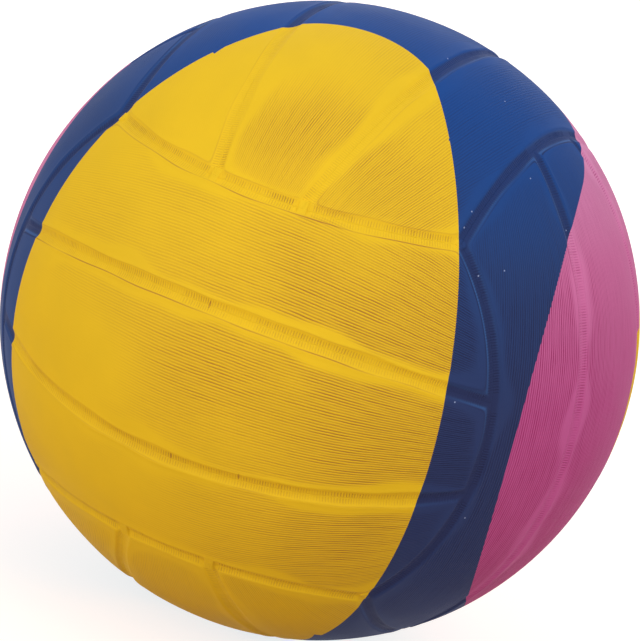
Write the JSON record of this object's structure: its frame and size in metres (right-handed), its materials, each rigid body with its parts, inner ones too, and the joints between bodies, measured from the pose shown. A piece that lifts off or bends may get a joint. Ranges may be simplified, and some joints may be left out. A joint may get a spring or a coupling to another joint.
{
  "type": "water polo ball",
  "caption": "Inflated rubber water polo ball of strip panels in crossed groups over a carcass, winding and bladder, with a needle valve",
  "frame": {"origin": "centre of the ball", "axes": "+Z through the middle of the top group of panels, -Y through the middle of the front group, +X through the middle of the right group; the valve faces +Y"},
  "size_m": [0.21, 0.21, 0.21],
  "materials": {
    "yellow_cover": "moulded rubber with fine grip grooves, satin",
    "blue_cover": "moulded rubber with fine grip grooves, satin",
    "pink_cover": "moulded rubber with fine grip grooves, satin",
    "natural_rubber": "plain rubber sheet, matt",
    "nylon_thread": "wound nylon thread set in latex",
    "butyl_rubber": "butyl rubber, dusted, matt",
    "valve_rubber": "soft black rubber, satin"
  },
  "bodies": {
    "ball": {"front_lower_panel": "yellow_cover", "front_middle_panel": "yellow_cover", "front_upper_panel": "yellow_cover", "back_lower_panel": "yellow_cover", "back_middle_panel": "yellow_cover", "back_upper_panel": "yellow_cover", "top_left_panel": "blue_cover", "top_middle_panel": "blue_cover", "top_right_panel": "blue_cover", "bottom_left_panel": "blue_cover", "bottom_middle_panel": "blue_cover", "bottom_right_panel": "blue_cover", "right_front_panel": "pink_cover", "right_middle_panel": "pink_cover", "right_back_panel": "pink_cover", "left_front_panel": "pink_cover", "left_middle_panel": "pink_cover", "left_back_panel": "pink_cover", "carcass": "natural_rubber", "thread_winding": "nylon_thread", "bladder": "butyl_rubber", "valve_housing": "butyl_rubber", "valve_collar": "yellow_cover", "balance_patch": "butyl_rubber"},
    "valve_core": {"valve_core": "valve_rubber"}
  },
  "joints": [
    {"name": "valve_core_slide", "type": "slide", "parent": "ball", "child": "valve_core", "axis": [0, 1, 0], "range_m": [0, 0.025]}
  ]
}
